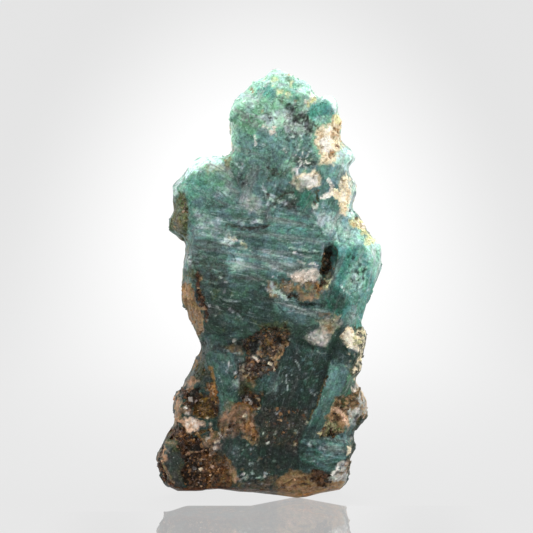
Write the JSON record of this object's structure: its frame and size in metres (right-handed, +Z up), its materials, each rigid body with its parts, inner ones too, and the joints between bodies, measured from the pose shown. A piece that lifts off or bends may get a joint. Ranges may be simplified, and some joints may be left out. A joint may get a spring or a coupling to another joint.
{
  "type": "grandidierite specimen",
  "caption": "Upright lump of rough blue-green grandidierite rock with pale feldspar and brown mica, standing on its worn foot.",
  "frame": {"origin": "on the ground under the middle of the stone's box", "axes": "+Z up along the stone's length, -Y towards the viewer of the broad show face, +X to that viewer's right"},
  "size_m": [0.032, 0.0196, 0.0603],
  "materials": {
    "teal_stone": "satin"
  },
  "bodies": {
    "root": {"grandidierite_stone": "teal_stone"}
  },
  "joints": []
}
